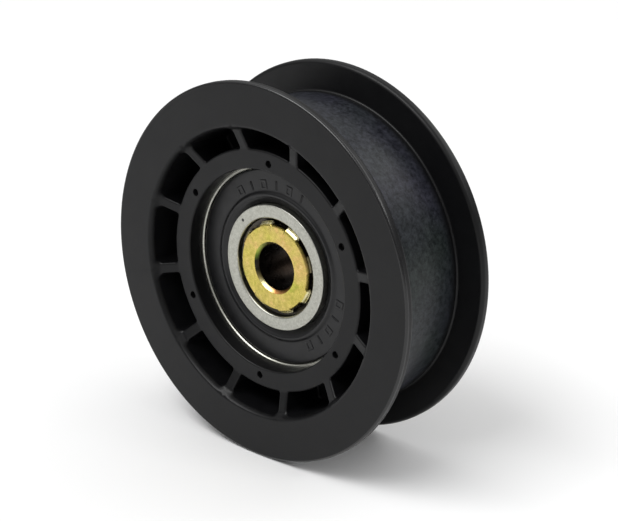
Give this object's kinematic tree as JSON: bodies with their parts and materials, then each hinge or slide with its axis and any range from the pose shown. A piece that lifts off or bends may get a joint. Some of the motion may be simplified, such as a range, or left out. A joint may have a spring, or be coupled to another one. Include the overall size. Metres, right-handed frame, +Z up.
{
  "type": "flat idler pulley",
  "caption": "Flat belt idler pulley: a moulded wheel with two flanges turns on a sealed ball bearing whose staked bush takes the bolt of a tensioner arm.",
  "frame": {"origin": "middle of the wheel, on its axis and halfway between its two outer faces", "axes": "+Y along the wheel's axis towards the bush's collar at the back, +Z up, front face towards -Y"},
  "size_m": [0.0732, 0.024, 0.0732],
  "materials": {
    "nylon": "satin black moulded, glass filled",
    "ground_steel": "ground",
    "ball_steel": "polished",
    "pressed_steel": "pressed, dull",
    "seal_rubber": "matte",
    "yellow_zinc": "steel with yellow passivated zinc plating"
  },
  "bodies": {
    "bush": {"bush": "yellow_zinc", "bearing_inner_ring": "ground_steel"},
    "pulley": {"pulley_body": "nylon", "bearing_outer_ring": "ground_steel", "seal_front": "seal_rubber", "seal_back": "seal_rubber", "seal_core_front": "pressed_steel", "seal_core_back": "pressed_steel"},
    "cage": {"cage_front": "pressed_steel", "cage_back": "pressed_steel", "cage_rivet_1": "pressed_steel", "cage_rivet_2": "pressed_steel", "cage_rivet_3": "pressed_steel", "cage_rivet_4": "pressed_steel", "cage_rivet_5": "pressed_steel", "cage_rivet_6": "pressed_steel", "cage_rivet_7": "pressed_steel", "cage_rivet_8": "pressed_steel"},
    "ball_1": {"ball_1": "ball_steel"},
    "ball_2": {"ball_2": "ball_steel"},
    "ball_3": {"ball_3": "ball_steel"},
    "ball_4": {"ball_4": "ball_steel"},
    "ball_5": {"ball_5": "ball_steel"},
    "ball_6": {"ball_6": "ball_steel"},
    "ball_7": {"ball_7": "ball_steel"},
    "ball_8": {"ball_8": "ball_steel"}
  },
  "joints": [
    {"name": "pulley_spin", "type": "hinge", "parent": "bush", "child": "pulley", "pos_m": [0, 0, 0], "axis": [0, 1, 0], "continuous": true},
    {"name": "cage_spin", "type": "hinge", "parent": "bush", "child": "cage", "pos_m": [0, 0, 0], "axis": [0, 1, 0], "continuous": true},
    {"name": "ball_1_spin", "type": "hinge", "parent": "cage", "child": "ball_1", "pos_m": [0, 0, 0.01425], "axis": [0, 1, 0], "continuous": true},
    {"name": "ball_2_spin", "type": "hinge", "parent": "cage", "child": "ball_2", "pos_m": [0.01008, 0, 0.01008], "axis": [0, 1, 0], "continuous": true},
    {"name": "ball_3_spin", "type": "hinge", "parent": "cage", "child": "ball_3", "pos_m": [0.01425, 0, 0], "axis": [0, 1, 0], "continuous": true},
    {"name": "ball_4_spin", "type": "hinge", "parent": "cage", "child": "ball_4", "pos_m": [0.01008, 0, -0.01008], "axis": [0, 1, 0], "continuous": true},
    {"name": "ball_5_spin", "type": "hinge", "parent": "cage", "child": "ball_5", "pos_m": [0, 0, -0.01425], "axis": [0, 1, 0], "continuous": true},
    {"name": "ball_6_spin", "type": "hinge", "parent": "cage", "child": "ball_6", "pos_m": [-0.01008, 0, -0.01008], "axis": [0, 1, 0], "continuous": true},
    {"name": "ball_7_spin", "type": "hinge", "parent": "cage", "child": "ball_7", "pos_m": [-0.01425, 0, 0], "axis": [0, 1, 0], "continuous": true},
    {"name": "ball_8_spin", "type": "hinge", "parent": "cage", "child": "ball_8", "pos_m": [-0.01008, 0, 0.01008], "axis": [0, 1, 0], "continuous": true}
  ],
  "couplings": [
    {"joint": "cage_spin", "follows": "pulley_spin", "ratio": 0.61837},
    {"joint": "ball_1_spin", "follows": "pulley_spin", "ratio": 1.9937},
    {"joint": "ball_2_spin", "follows": "pulley_spin", "ratio": 1.9937},
    {"joint": "ball_3_spin", "follows": "pulley_spin", "ratio": 1.9937},
    {"joint": "ball_4_spin", "follows": "pulley_spin", "ratio": 1.9937},
    {"joint": "ball_5_spin", "follows": "pulley_spin", "ratio": 1.9937},
    {"joint": "ball_6_spin", "follows": "pulley_spin", "ratio": 1.9937},
    {"joint": "ball_7_spin", "follows": "pulley_spin", "ratio": 1.9937},
    {"joint": "ball_8_spin", "follows": "pulley_spin", "ratio": 1.9937}
  ]
}
